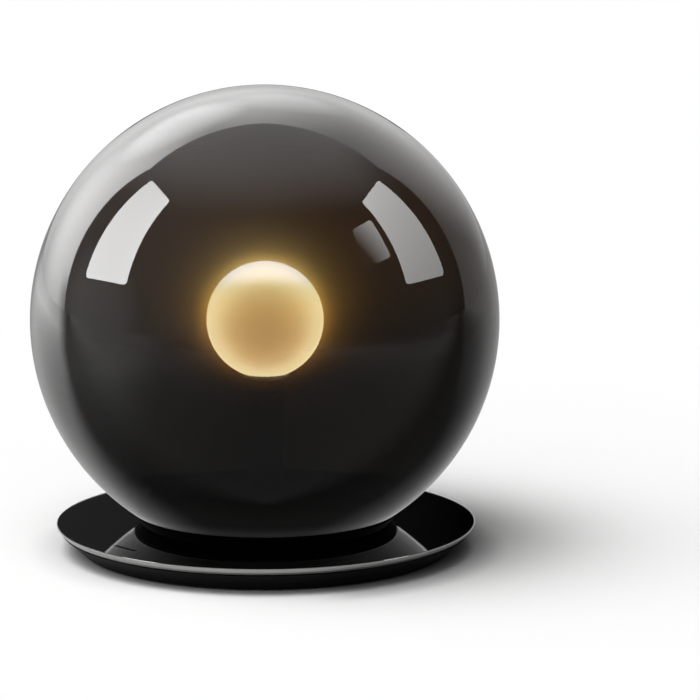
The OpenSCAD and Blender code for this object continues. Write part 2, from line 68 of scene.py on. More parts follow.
class Shade:
    """A socket in a node tree. Sums on it add Math nodes, and node() adds any other node."""

    def __init__(self, tree, socket=None):
        self.tree = tree
        self.socket = socket

    def node(self, kind, settings, sockets, output=0):
        made = self.tree.nodes.new(kind)
        for name, value in settings.items():
            if name == "stops":
                lay_stops(made.color_ramp, value)
            else:
                setattr(made, name, value)
        for name, value in sockets.items():
            if isinstance(value, Shade):
                self.tree.links.new(value.socket, made.inputs[name])
            else:
                made.inputs[name].default_value = value
        return Shade(self.tree, made.outputs[output] if made.outputs else None)

    def sum(self, operation, *terms):
        return self.node("ShaderNodeMath", {"operation": operation}, dict(enumerate(terms)))

    def __add__(self, other):
        return self.sum("ADD", self, other)

    def __radd__(self, other):
        return self.sum("ADD", other, self)

    def __sub__(self, other):
        return self.sum("SUBTRACT", self, other)

    def __rsub__(self, other):
        return self.sum("SUBTRACT", other, self)

    def __mul__(self, other):
        return self.sum("MULTIPLY", self, other)

    def __rmul__(self, other):
        return self.sum("MULTIPLY", other, self)

    def __truediv__(self, other):
        return self.sum("DIVIDE", self, other)

    def __rtruediv__(self, other):
        return self.sum("DIVIDE", other, self)

    def __neg__(self):
        return self.sum("MULTIPLY", -1.0, self)

    def __abs__(self):
        return self.sum("ABSOLUTE", self)

    def root(self):
        return self.sum("SQRT", self)

    def at_least(self, low):
        return self.sum("MAXIMUM", self, low)

    def at_most(self, high):
        return self.sum("MINIMUM", self, high)

    def step(self, low, high):
        """0 below low, 1 above high and a smooth rise between."""
        return self.node(
            "ShaderNodeMapRange",
            {"interpolation_type": "SMOOTHSTEP"},
            {"Value": self, "From Min": low, "From Max": high},
        )

    def blend(self, first, second):
        """first where this value is 0, second where it is 1, as colours."""
        return self.node("ShaderNodeMix", {"data_type": "RGBA"}, {0: self, 6: first, 7: second}, 2)

    def ramp(self, stops):
        return self.node("ShaderNodeValToRGB", {"stops": stops}, {"Fac": self})


def lay_stops(color_ramp, stops):
    while len(color_ramp.elements) < len(stops):
        color_ramp.elements.new(1.0)
    for element, (where, colour) in zip(color_ramp.elements, stops):
        element.position = where
        element.color = colour


def rgb(red, green, blue):
    return (red, green, blue, 1.0)


def grey(level):
    return rgb(level, level, level)


def emptied(owner):
    """A material's or the world's node tree, with nothing in it."""
    owner.use_nodes = True
    owner.node_tree.nodes.clear()
    return Shade(owner.node_tree)


def start(name):
    material = bpy.data.materials.new(name)
    return material, emptied(material)


def close(shade, surface):
    shade.node("ShaderNodeOutputMaterial", {}, {"Surface": surface})


def place(shade):
    return shade.node("ShaderNodeTexCoord", {}, {}, "Object")


def axes(shade, vector):
    split = shade.node("ShaderNodeSeparateXYZ", {}, {"Vector": vector})
    return [Shade(shade.tree, part) for part in split.socket.node.outputs]


def from_axis(x, y):
    return (x * x + y * y).root()


def vector_sum(shade, operation, output, *terms):
    settings = {"operation": operation}
    return shade.node("ShaderNodeVectorMath", settings, dict(enumerate(terms)), output)


def noise(shade, at, scale, detail=3.0, roughness=0.55):
    sockets = {"Vector": at, "Scale": scale, "Detail": detail, "Roughness": roughness}
    return shade.node("ShaderNodeTexNoise", {}, sockets, "Fac")


def lathe_lines(shade, across, along):
    """Fine lines that follow two lengths, as a lathe tool leaves them."""
    at = shade.node("ShaderNodeCombineXYZ", {}, {"X": across, "Y": along})
    return noise(shade, at, 1.0, 2.0)


def bump(shade, height, strength, depth):
    sockets = {"Strength": strength, "Distance": depth, "Height": height}
    return shade.node("ShaderNodeBump", {}, sockets)


def socket_name(word):
    return word.replace("_", " ").title().replace("Ior", "IOR")


def principled(shade, **sockets):
    named = {socket_name(word): value for word, value in sockets.items()}
    return shade.node("ShaderNodeBsdfPrincipled", {}, named)


def mixed(shade, share, first, second):
    return shade.node("ShaderNodeMixShader", {}, {0: share, 1: first, 2: second})


def glow(shade, colour):
    return shade.node("ShaderNodeEmission", {}, {"Color": colour, "Strength": 1.0})


def as_grey(shade, level):
    """A level that changes from place to place, as a colour."""
    return shade.node("ShaderNodeCombineColor", {}, {"Red": level, "Green": level, "Blue": level})


def ray_kind(shade, kind):
    return shade.node("ShaderNodeLightPath", {}, {}, kind)


def tinted(shade, colour, filter_colour):
    """A colour seen through a filter."""
    mix = {"data_type": "RGBA", "blend_type": "MULTIPLY"}
    return shade.node("ShaderNodeMix", mix, {0: 1.0, 6: colour, 7: filter_colour}, 2)


def tones(colour, darker, lighter):
    """A darker and a lighter tone of a colour."""
    dark = [darker * part for part in colour]
    light = [min(1.0, lighter * part) for part in colour]
    return rgb(*dark), rgb(*light)


# Glass

GLASS_IOR = 1.5
INNER_FACE = (0.6, 0.4)
SMOKE_CLOUDS = 0.05
SMOKE_CLOUD_SCALE = 9.0
# Tint of the inner haze, brighter than white: it paints an orange glow round the orb.
HAZE_GLOW_TINT = rgb(4.7, 1.17, 0.06)
HAZE_NEAR_ROUGH = 0.31
HAZE_WIDE_ROUGH = 0.58
HAZE_WIDE_SHARE = 0.20
HAZE_LEAST = 0.012
HAZE_MAIN = 0.50
HAZE_MAIN_Z = (0.085, 0.128)
HAZE_OVER_ORB = 0.08
HAZE_OVER_ORB_Z = (0.115, 0.14)
HAZE_LOST_AT_CROWN = 0.7
HAZE_CROWN_Z = (0.145, 0.185)
HAZE_SPOTS = 0.05
HAZE_SPOT_SCALE = 40.0

ORB_LIGHT = 24.0
ORB_MOTTLE = 0.05
ORB_MOTTLE_SCALE = 160.0
# Tints and masks that paint highlight and shade into the orb's glow, by place on it.
ORB_FOOT_RISE = (-0.75, 0.25)
ORB_FOOT_TINT = rgb(1.44, 1.12, 0.92)
ORB_LOW_RIM_SIDE = (0.6, 0.85)
ORB_LOW_RIM_TINT = rgb(0.86, 0.88, 0.88)
ORB_HEAD_RISE = (0.2, 0.6)
ORB_HEAD_TINT = rgb(0.81, 0.94, 1.12)
ORB_BROW_RISE = (0.5, 0.75)
ORB_BROW_TINT = rgb(0.81, 0.91, 1.0)
ORB_CROWN_RISE = (0.66, 0.92)
ORB_CROWN_DROOP = 0.22
ORB_CROWN_COLOUR = rgb(0.52, 0.73, 1.02)


def glass(shade, colour, rough):
    return principled(
        shade,
        base_color=colour,
        roughness=rough,
        transmission_weight=1.0,
        ior=GLASS_IOR,
    )


def smoked_glass():
    """Dark glass with a tint painted lighter towards the top, which stands in for the lit upper
    inside, and a faint haze on its inner face tinted past white, which paints an orange glow round the
    orb.
    """
    material, s = start("smoked_glass")
    at = place(s)
    z = axes(s, at)[2]
    height = (z - NECK_Z) / (2 * GLOBE_R)
    clouded = height + SMOKE_CLOUDS * (noise(s, at, SMOKE_CLOUD_SCALE) - 0.5)
    # Painted light: the tint grows lighter towards the top, so the upper inside looks lit.
    tint = clouded.ramp([
        (0.0, rgb(0.052, 0.050, 0.048)),
        (0.45, rgb(0.064, 0.061, 0.057)),
        (0.75, rgb(0.085, 0.081, 0.076)),
        (1.0, rgb(0.110, 0.106, 0.100)),
    ])
    clear = glass(s, tint, 0.0)
    # The haze is rough glass that really scatters; its tint past white is painted light, an orange
    # glow round the orb.
    amber = tinted(s, tint, HAZE_GLOW_TINT)
    near_haze = glass(s, amber, HAZE_NEAR_ROUGH)
    wide_haze = glass(s, amber, HAZE_WIDE_ROUGH)
    hazed = mixed(s, HAZE_WIDE_SHARE, near_haze, wide_haze)
    out = vector_sum(s, "DISTANCE", "Value", at, GLOBE_MID)
    inner_from, inner_to = (GLOBE_R - share * GLOBE_WALL for share in INNER_FACE)
    inner_face = 1 - out.step(inner_from, inner_to)
    main = z.step(*HAZE_MAIN_Z) * (HAZE_MAIN + HAZE_OVER_ORB * z.step(*HAZE_OVER_ORB_Z))
    below_crown = 1 - HAZE_LOST_AT_CROWN * z.step(*HAZE_CROWN_Z)
    film = HAZE_LEAST + main + HAZE_SPOTS * noise(s, at, HAZE_SPOT_SCALE)
    close(s, mixed(s, inner_face * below_crown * film, clear, hazed))
    return material


def opal_glass():
    """Lit opal glass, its glow painted whiter at the crown and tan where the wall faces front and
    back: painted highlight and shade that stand in for the brighter rim and top seen from the front.
    """
    material, s = start("opal_glass")
    at = place(s)
    x, y, z = axes(s, at)
    across = x / ORB_R
    depth = y / ORB_R
    rise = (z - GLOBE_MID.z) / ORB_R
    side = 1 - depth * depth
    mottle = ORB_MOTTLE * (noise(s, at, ORB_MOTTLE_SCALE) - 0.5)
    # Painted shade: the glow is darker tan where the wall faces front and back, brighter to the sides.
    painted_glow = (side + mottle).ramp([
        (0.0, rgb(0.186, 0.170, 0.091)),
        (0.12, rgb(0.210, 0.191, 0.102)),
        (0.36, rgb(0.272, 0.270, 0.162)),
        (0.80, rgb(0.455, 0.520, 0.375)),
        (1.0, rgb(0.655, 0.690, 0.470)),
    ])
    foot = 1 - rise.step(*ORB_FOOT_RISE)
    masks = [
        (foot, ORB_FOOT_TINT),
        (foot * side.step(*ORB_LOW_RIM_SIDE), ORB_LOW_RIM_TINT),
        (rise.step(*ORB_HEAD_RISE), ORB_HEAD_TINT),
        (rise.step(*ORB_BROW_RISE), ORB_BROW_TINT),
    ]
    for mask, tint in masks:
        painted_glow = mask.blend(painted_glow, tinted(s, painted_glow, tint))
    # Painted highlight: the crown glows whiter.
    crown = (rise + ORB_CROWN_DROOP * across * across).step(*ORB_CROWN_RISE)
    surface = principled(
        s,
        base_color=rgb(0.86, 0.80, 0.66),
        roughness=0.25,
        coat_weight=0.4,
        emission_color=crown.blend(painted_glow, ORB_CROWN_COLOUR),
        emission_strength=ORB_LIGHT,
    )
    close(s, surface)
    return material


# Lacquer, metal, plastic and rubber

LACQUER = rgb(0.0010, 0.0010, 0.0011)
LACQUER_ROUGH = 0.03
LACQUER_ROUGH_DRIFT = 0.02
LACQUER_DRIFT_SCALE = 60.0
PEEL_SCALE = 700.0
PLATE_BUMP = 0.005
PLATE_BUMP_DEPTH = 0.0002
BARE_R = (PLATE_R - 0.0022, PLATE_R - 0.0019)
BARE_TOP_Z = (PLATE_TOP_Z - 0.00025, PLATE_TOP_Z - 0.00005)
BARE_FOOT_Z = (PLATE_FOOT_Z + 0.00080, PLATE_FOOT_Z + 0.00095)
BARE_LINES = 9000.0
BARE_ROUGH = 0.20
BARE_ROUGH_LINES = 0.10

SATIN_DRIFT_SCALE = 30.0
SATIN_TONES = (0.84, 1.18)
SATIN_SLOW = 0.6
SATIN_FINE = 0.4
SATIN_ROUGH_SLOW = 0.10
SATIN_ROUGH_FINE = 0.06
SATIN_BUMP = 0.35

HANDLING_SCALE = 120.0
METAL_TONES = (0.86, 1.10)
METAL_RINGS = 0.5
METAL_MARKS = 0.5
METAL_ROUGH_MARKS = 0.14
METAL_ROUGH_RINGS = 0.10
METAL_BUMP = 0.25
METAL_BUMP_DEPTH = 0.5

CHIP_LIGHT = 6.0
CHIP_GRAIN = 2500.0
CHIP_ROUGH = 0.5
CHIP_ROUGH_GRAIN = 0.2


def lacquered_plate():
    """Gloss black lacquer on top, with the turned metal bare round the edge."""
    material, s = start("lacquered_plate")
    at = place(s)
    x, y, z = axes(s, at)
    reach = from_axis(x, y)
    bare = reach.step(*BARE_R) * (1 - z.step(*BARE_TOP_Z)) * z.step(*BARE_FOOT_Z)
    peel = noise(s, at, PEEL_SCALE, 2.0)
    turned = lathe_lines(s, z * BARE_LINES, reach * BARE_LINES)
    smooth = LACQUER_ROUGH + LACQUER_ROUGH_DRIFT * noise(s, at, LACQUER_DRIFT_SCALE)
    metal = turned.ramp([(0.2, rgb(0.25, 0.25, 0.245)), (0.8, rgb(0.34, 0.335, 0.325))])
    surface = principled(
        s,
        base_color=bare.blend(LACQUER, metal),
        metallic=bare,
        roughness=smooth + bare * (BARE_ROUGH + BARE_ROUGH_LINES * turned),
        ior=GLASS_IOR,
        coat_weight=1 - bare,
        coat_roughness=LACQUER_ROUGH,
        normal=bump(s, peel * (1 - bare) + turned * bare, PLATE_BUMP, PLATE_BUMP_DEPTH),
    )
    close(s, surface)
    return material


def satin(name, colour, rough, grain, depth, shine=0.5):
    """A powder or moulded finish: fine grain, with slow drifts in colour and gloss."""
    material, s = start(name)
    at = place(s)
    fine = noise(s, at, grain, 4.0, 0.6)
    slow = noise(s, at, SATIN_DRIFT_SCALE)
    surface = principled(
        s,
        base_color=(SATIN_SLOW * slow + SATIN_FINE * fine).blend(*tones(colour, *SATIN_TONES)),
        roughness=rough + SATIN_ROUGH_SLOW * (slow - 0.5) + SATIN_ROUGH_FINE * (fine - 0.5),
        specular_ior_level=shine,
        normal=bump(s, fine, SATIN_BUMP, depth),
    )
    close(s, surface)
    return material


def turned_metal(name, colour, rough, pitch):
    """Metal off the lathe: fine rings round the axis, and faint handling marks."""
    material, s = start(name)
    at = place(s)
    x, y, z = axes(s, at)
    rings = lathe_lines(s, from_axis(x, y) / pitch, z / pitch)
    marks = noise(s, at, HANDLING_SCALE, 4.0)
    surface = principled(
        s,
        base_color=(METAL_RINGS * rings + METAL_MARKS * marks).blend(*tones(colour, *METAL_TONES)),
        metallic=1.0,
        roughness=rough + METAL_ROUGH_MARKS * (marks - 0.5) + METAL_ROUGH_RINGS * (rings - 0.5),
        normal=bump(s, rings, METAL_BUMP, METAL_BUMP_DEPTH * pitch),
    )
    close(s, surface)
    return material


def lit_chips():
    """Yellow coating over the light chips."""
    material, s = start("phosphor_yellow")
    grain = noise(s, place(s), CHIP_GRAIN)
    surface = principled(
        s,
        base_color=grain.blend(rgb(0.78, 0.52, 0.10), rgb(0.90, 0.66, 0.20)),
        roughness=CHIP_ROUGH + CHIP_ROUGH_GRAIN * (grain - 0.5),
        emission_color=grain.blend(rgb(1.0, 0.80, 0.45), rgb(1.0, 0.86, 0.56)),
        emission_strength=CHIP_LIGHT,
    )
    close(s, surface)
    return material


# Each finish with the nodes that have it. Satin: colour, roughness, grain scale, grain depth, shine.
# Turned metal: colour, roughness, pitch of the rings.
FINISHES = [
    (lacquered_plate(), ["top_plate"]),
    (
        satin("key_black", (0.002, 0.002, 0.002), 0.60, 900.0, 0.00002, 0.04),
        ["dimmer_key"],
    ),
    (
        satin("satin_black", (0.002, 0.002, 0.0022), 0.55, 1400.0, 0.00001, 0.08),
        ["neck_cover", "stem", "heat_sink"],
    ),
    (
        satin("collar_black", (0.0012, 0.0012, 0.0013), 0.75, 1400.0, 0.00001, 0.01),
        ["collar", "neck_gasket"],
    ),
    (
        satin("pan_black", (0.0020, 0.0020, 0.0021), 0.50, 1600.0, 0.00003, 0.05),
        ["base_pan", "bottom_cover"],
    ),
    (
        satin("black_rubber", (0.022, 0.022, 0.023), 0.72, 1100.0, 0.00006),
        ["rubber_feet", "plate_cushion", "wire_grommet", "cord_gland"],
    ),
    (
        satin("clear_silicone", (0.62, 0.62, 0.60), 0.45, 500.0, 0.00002),
        ["orb_washer"],
    ),
    (
        turned_metal("zinc_steel", (0.52, 0.53, 0.55), 0.32, 0.00012),
        ["cover_screws", "collar_screws", "board_screws", "stem_washer", "stem_nut"],
    ),
    (
        satin("ballast_iron", (0.16, 0.16, 0.17), 0.55, 320.0, 0.00012),
        ["ballast_ring"],
    ),
    (
        turned_metal("bare_aluminium", (0.74, 0.74, 0.75), 0.28, 0.00010),
        ["orb_ring"],
    ),
    (
        satin("board_green", (0.020, 0.120, 0.055), 0.38, 260.0, 0.00002),
        ["control_board"],
    ),
    (
        satin("white_plastic", (0.74, 0.73, 0.69), 0.42, 800.0, 0.00002),
        ["led_board", "board_header", "terminal_block"],
    ),
    (lit_chips(), ["led_chips"]),
    (
        satin("part_grey", (0.045, 0.046, 0.050), 0.50, 900.0, 0.00003),
        ["board_parts", "push_switch"],
    ),
    (
        satin("pale_wire", (0.50, 0.48, 0.40), 0.46, 700.0, 0.00002),
        ["led_wires"],
    ),
    (
        satin("red_wire", (0.38, 0.030, 0.026), 0.46, 700.0, 0.00002),
        ["supply_wires"],
    ),
]

for finish, members in FINISHES:
    for member in members:
        mesh = nodes[member].data
        mesh.materials.clear()
        mesh.materials.append(finish)


# Blown glass pieces

GLOBE_EASE = 0.0004
GLOBE_STEPS = 120
GLOBE_TURNS = 256
ORB_EASE = 0.0003
ORB_STEPS = 72
ORB_TURNS = 160
ON_AXIS = 1e-7


def on_circle(radius, height, turns):
    """Points round the axis at a radius and a height."""
    angles = [2 * math.pi * i / turns for i in range(turns)]
    return [(radius * math.cos(a), radius * math.sin(a), height) for a in angles]


def arc(centre_z, radius, first, last, steps):
    """Points of an arc about the axis, by the angle above the horizontal."""
    angles = [first + (last - first) * i / steps for i in range(steps + 1)]
    return [(radius * math.cos(a), centre_z + radius * math.sin(a)) for a in angles]


def lathe(name, outline, turns):
    """A closed outline of (radius, height) points turned about Z; points on the axis become one."""
    made = bmesh.new()
    rings = []
    for radius, height in outline:
        if radius < ON_AXIS:
            rings.append([made.verts.new((0.0, 0.0, height))] * turns)
        else:
            rings.append([made.verts.new(point) for point in on_circle(radius, height, turns)])
    for k, ring in enumerate(rings):
        above = rings[(k + 1) % len(rings)]
        for i in range(turns):
            j = (i + 1) % turns
            corners = []
            for vert in (ring[i], ring[j], above[j], above[i]):
                if vert not in corners:
                    corners.append(vert)
            if len(corners) > 2:
                made.faces.new(corners).smooth = True
    bmesh.ops.recalc_face_normals(made, faces=made.faces)
    mesh = bpy.data.meshes.new(name)
    made.to_mesh(mesh)
    made.free()
    piece = bpy.data.objects.new(name, mesh)
    bpy.context.scene.collection.objects.link(piece)
    return piece


def shell(radius, wall, outer_from, inner_from, steps):
    """Outer face of a round glass up to its crown, and its inner face back down."""
    mid = GLOBE_MID.z
    inner_r = radius - wall
    outer = arc(mid, radius, outer_from, math.pi / 2, steps)
    inner = arc(mid, inner_r, math.pi / 2, inner_from, steps)
    outer[-1] = (0.0, mid + radius)
    inner[0] = (0.0, mid + inner_r)
    return outer + inner


def globe_outline():
    """The globe's two faces, closed by the ground edge at the neck."""
    drop = NECK_Z + GLOBE_EASE - GLOBE_MID.z
    outer_from = math.asin(drop / GLOBE_R)
    inner_from = math.asin(drop / (GLOBE_R - GLOBE_WALL))
    faces = shell(GLOBE_R, GLOBE_WALL, outer_from, inner_from, GLOBE_STEPS)
    foot = [(faces[-1][0] + GLOBE_EASE, NECK_Z), (faces[0][0] - GLOBE_EASE, NECK_Z)]
    return faces + foot


def orb_outline():
    """The orb's two faces, closed by the hole in its flat foot."""
    outer_from = -math.acos((ORB_FLAT_R + ORB_EASE) / ORB_R)
    inner_from = -math.acos((ORB_HOLE_R + ORB_EASE) / (ORB_R - ORB_WALL))
    faces = shell(ORB_R, ORB_WALL, outer_from, inner_from, ORB_STEPS)
    hole = [
        (ORB_HOLE_R, faces[-1][1] - ORB_EASE),
        (ORB_HOLE_R, ORB_FLAT_Z + ORB_EASE),
        (ORB_HOLE_R + ORB_EASE, ORB_FLAT_Z),
        (ORB_FLAT_R - ORB_EASE, ORB_FLAT_Z),
    ]
    return faces + hole


globe_glass = lathe("globe_glass", globe_outline(), GLOBE_TURNS)
globe_glass.data.materials.append(smoked_glass())
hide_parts("globe")
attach(globe_glass, "globe")

orb_glass = lathe("orb_glass", orb_outline(), ORB_TURNS)
orb_glass.data.materials.append(opal_glass())
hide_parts("orb")
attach(orb_glass, "orb")


# Stage: what the lamp stands on and mirrors


def on_stage(name, mesh, material):
    mesh.materials.append(material)
    made = bpy.data.objects.new(name, mesh)
    bpy.context.scene.collection.objects.link(made)
    return made


def flat_piece(name, points, faces, material):
    mesh = bpy.data.meshes.new(name)
    mesh.from_pydata([tuple(point) for point in points], [], faces)
    return on_stage(name, mesh, material)


def only_in_gloss(card):
    """A card that shows in reflections, and neither lights nor shades the lamp."""
    card.visible_camera = False
    card.visible_diffuse = False
    card.visible_transmission = False
    card.visible_shadow = False


def glowing(name, brightness_of, lower_face=None):
    """A card whose brightness changes over it, worked out from the place on it."""
    material, s = start(name)
    light = glow(s, as_grey(s, brightness_of(s, place(s))))
    if lower_face:
        from_below = s.node("ShaderNodeNewGeometry", {}, {}, "Backfacing")
        light = mixed(s, from_below, light, lower_face(s))
    close(s, light)
    return material


def sloped(level, slope):
    """Brightness that changes evenly over a card: a level, and its change in each metre of X, Y, Z."""

    def brightness(s, at):
        return level + vector_sum(s, "DOT_PRODUCT", "Value", at, slope)

    return brightness


# Floor: a white board with the lamp's shadow and a painted shade nearby, plain white farther off

FLOOR_HALF = 6.0
FLOOR_CORNERS = [(-1, -1), (1, -1), (1, 1), (-1, 1)]
FLOOR_WHITE_R = (0.30, 0.55)
FLOOR_GLOSS_R = (0.095, 0.13)
BOARD_TONE = 0.87
BOARD_ROUGH = 0.9
# Painted shade under the plate's edge: its reach, and how dark to the right and to the left.
RIM_SHADE_R = (0.089, 0.106)
RIM_SHADE_RIGHT = 0.38
RIM_SHADE_RIGHT_SPAN = (0.15, 0.5)
RIM_SHADE_LEFT = 0.12
RIM_SHADE_LEFT_SPAN = (0.4, 0.8)
CLEAR_SLANT = 0.6
CLEAR_SPAN = (-0.1, 0.7)


def seen_clear(x, y):
    """1 in the directions, behind and to the left, where the glass shows the white room."""
    return (y - CLEAR_SLANT * x).step(*CLEAR_SPAN)


def floor_white():
    """White board with a painted shade under the plate's edge, heavier on the right, on top of the
    lamp's own shadow.
    """
    material, s = start("floor_white")
    x, y = axes(s, place(s))[:2]
    reach = from_axis(x, y)
    beside = x / reach
    # Painted shade: the board's tone is darkened under the plate's edge, more on the right than the
    # left.
    right = RIM_SHADE_RIGHT * beside.step(*RIM_SHADE_RIGHT_SPAN)
    left = RIM_SHADE_LEFT * (-beside).step(*RIM_SHADE_LEFT_SPAN)
    tone = BOARD_TONE * (1 - (right + left) * (1 - reach.step(*RIM_SHADE_R)))
    board = principled(
        s,
        base_color=as_grey(s, tone),
        roughness=BOARD_ROUGH,
        specular_ior_level=0.0,
    )
    in_gloss = ray_kind(s, "Is Glossy Ray") * reach.step(*FLOOR_GLOSS_R)
    bright = reach.step(*FLOOR_WHITE_R).at_least(in_gloss)
    dark = ray_kind(s, "Is Transmission Ray") * (1 - seen_clear(beside, y / reach))
    white = glow(s, as_grey(s, 1 - dark))
    close(s, mixed(s, bright.at_least(dark), board, white))
    return material


floor_corners = [(FLOOR_HALF * x, FLOOR_HALF * y, 0.0) for x, y in FLOOR_CORNERS]
flat_piece("floor", floor_corners, [(0, 1, 2, 3)], floor_white())


# Tent: cloth all round, with an arched edge between its dim front and its lit back

TENT_R = 4.5
TENT_TURNS = 48
TENT_RINGS = 24
ARCH_SIDE = 0.432
ARCH_SIDE_LEAN = 0.255
ARCH_TOP = 0.551
ARCH_TOP_LEAN = 0.095
ARCH_SOFT = 0.012
FLAG_SHADE = 0.87
FLAG_SPAN = (0.3, 0.9)
FLAG_REACH = (0.0, 0.4)
LOW_LEFT_SHADE = 0.55
LOW_LEFT_RISE = (0.03, 0.17)
LOW_LEFT_SPAN = (0.2, 0.6)
LOW_LEFT_REACH = (0.0, 0.17)
BACK_LEVEL = 0.37
FRONT_LEVEL = 0.11
ROOM_LEVEL = 0.02

# Soft patches of light: turn from the back and rise in degrees, spread in degrees, level.
# Most of these numbers were fitted to the photo's brightness by a separate scratch program.
BACK_PATCHES = [
    (-54.0, 45.0, 60.0, 2.36),
    (-75.0, 25.0, 49.0, 3.35),
    (21.0, 42.0, 41.0, 1.12),
    (-25.0, 40.0, 17.0, 2.07),
    (-28.0, -3.0, 78.0, 0.50),
    (5.0, 37.0, 13.0, 0.60),
]
FRONT_PATCHES = [
    (-1.0, 72.0, 51.0, 1.12),
    (-91.0, 2.0, 30.0, 0.40),
    (-118.0, 22.0, 89.0, 0.29),
]
ROOM_PATCHES = [
    (-129.0, 54.0, 70.0, 1.03),
    (-96.0, 63.0, 25.0, 3.25),
    (-149.0, 70.0, 25.0, 4.94),
]


def towards(turn, rise):
    """The direction at a turn from the back and a rise, both in degrees."""
    turn = math.radians(turn)
    rise = math.radians(rise)
    flat = math.cos(rise)
    return Vector((math.sin(turn) * flat, math.cos(turn) * flat, math.sin(rise)))


def patches(s, ray, level, each):
    """A level of light all round, and soft patches on top of it."""
    for turn, rise, spread, light in each:
        facing = vector_sum(s, "DOT_PRODUCT", "Value", ray, towards(turn, rise))
        level = level + light * facing.step(math.cos(math.radians(spread)), 1.0)
    return level


def tent_light(s, at):
    """The tent as the glass sees it: dim in front, and lit cloth behind an arched edge."""
    from_globe = vector_sum(s, "SUBTRACT", "Vector", at, GLOBE_MID)
    ray = vector_sum(s, "NORMALIZE", "Vector", from_globe)
    x, y, z = axes(s, ray)
    out = abs(x)
    arch_sides = out * (ARCH_SIDE + ARCH_SIDE_LEAN * z)
    arch_top = z * (ARCH_TOP - ARCH_TOP_LEAN * out)
    past_arch = y - arch_sides.at_least(arch_top)
    behind = past_arch.step(-ARCH_SOFT, ARCH_SOFT)
    flag = x.step(*FLAG_SPAN) * (1 - (-past_arch).step(*FLAG_REACH))
    front = (1 - FLAG_SHADE * flag) * patches(s, ray, FRONT_LEVEL, FRONT_PATCHES)
    low_left = (1 - z.step(*LOW_LEFT_RISE)) * (-x).step(*LOW_LEFT_SPAN)
    faded = low_left * (1 - past_arch.step(*LOW_LEFT_REACH))
    back = (1 - LOW_LEFT_SHADE * faded) * patches(s, ray, BACK_LEVEL, BACK_PATCHES)
    return front * (1 - behind) + back * behind


tent = bmesh.new()
bmesh.ops.create_uvsphere(tent, u_segments=TENT_TURNS, v_segments=TENT_RINGS, radius=TENT_R)
bmesh.ops.translate(tent, verts=tent.verts, vec=GLOBE_MID)
tent_mesh = bpy.data.meshes.new("tent_shell")
tent.to_mesh(tent_mesh)
tent.free()
only_in_gloss(on_stage("tent_shell", tent_mesh, glowing("tent_cloth", tent_light)))


# Table cards: what the globe's lower half mirrors, dim up to a bent edge and lit behind it

CARD_Z = 0.0125
CARD_OUT = 4.0
CARD_TURNS = 128
CARD_LEAST = 0.06
CARD_BACK_TONE = 0.80
EDGE_SLOPE = 0.375
EDGE_BEND = 0.0036
EDGE_FORWARD = 0.0965
EDGE_SOFT = 0.02
EDGE_SOFT_OUT = 0.05
EDGE_SPAN = (-0.2, 1.0)
WIDEST = 0.7
LEFT_X = (-0.02, 0.06)
COLLAR_LINE = 0.07
COLLAR_LINE_R = (0.054, 0.061)

LIT_LEVEL = 0.5
LIT_DIP = 0.08
LIT_DIP_OUT = (0.08, 0.2)
LIT_MOST = 2.9
LIT_AT_COLLAR = 0.25
LIT_COLLAR_OUT = (0.015, 0.055)
LEFT_LIGHT_FROM = -0.20
LEFT_LIGHT_X = 3.9
LEFT_LIGHT_Y = 1.3
LEFT_LIGHT_R = 1.25
LIT_JUMP = 0.3
LIT_JUMP_OUT = (0.1, 0.3)
LIT_JUMP_LOST = 0.7
RIGHT_FADE = 0.03
RIGHT_FADE_OUT = 0.62
LEFT_FADE = 0.057
LEFT_FADE_OUT = 0.23
LEFT_FADE_FROM = 0.3

DIM_LEVEL = 0.165
DIM_RIGHT = 0.13
DIM_RIGHT_X = (0.15, 0.6)
DIM_LOST_RIGHT = 0.45
DIM_LOST_X = (0.4, 1.4)
DIM_AT_EDGE = 0.12
DIM_AT_EDGE_LEFT = 0.28
DIM_FADE = 0.006
DIM_FADE_OUT = 0.45
DIM_FADE_WIDEST = 0.4
NEAR_LIGHT = 0.23
NEAR_WIDEST = 0.25
NEAR_LOST_OUT = (0.4, 1.2)
SIDE_GLOW_FROM = -0.08
SIDE_GLOW_X = 2.1
SIDE_GLOW_MOST = 0.62
SIDE_GLOW_LOST = 0.72
SIDE_GLOW_SPAN = (0.25, 1.1)
STRIP_LIGHT = 0.058
STRIP_SPAN = (0.118, 0.131)
STRIP_Y = (0.085, 0.125)


def lit_table(x, y, left, past_edge):
    """The table behind the edge: brighter to the left, and rising softly from the edge."""
    out = abs(x)
    drawn_in = LEFT_LIGHT_R / from_axis(x, y).at_least(LEFT_LIGHT_R)
    leftward = drawn_in * (LEFT_LIGHT_X * x + LEFT_LIGHT_Y * y)
    from_left = (LEFT_LIGHT_FROM - leftward).at_least(0.0)
    level = (LIT_LEVEL - LIT_DIP * out.step(*LIT_DIP_OUT) + from_left).at_most(LIT_MOST)
    at_collar = LIT_AT_COLLAR + (1 - LIT_AT_COLLAR) * out.step(*LIT_COLLAR_OUT)
    right_fade = RIGHT_FADE + RIGHT_FADE_OUT * out.at_most(WIDEST)
    left_fade = LEFT_FADE + LEFT_FADE_OUT * (out - LEFT_FADE_FROM).at_least(0.0)
    fade = right_fade + left * (left_fade - right_fade)
    jump = LIT_JUMP * out.step(*LIT_JUMP_OUT) * (1 - LIT_JUMP_LOST * left)
    return at_collar * level * (jump + (1 - jump) * (past_edge / fade).step(0.0, 1.0))


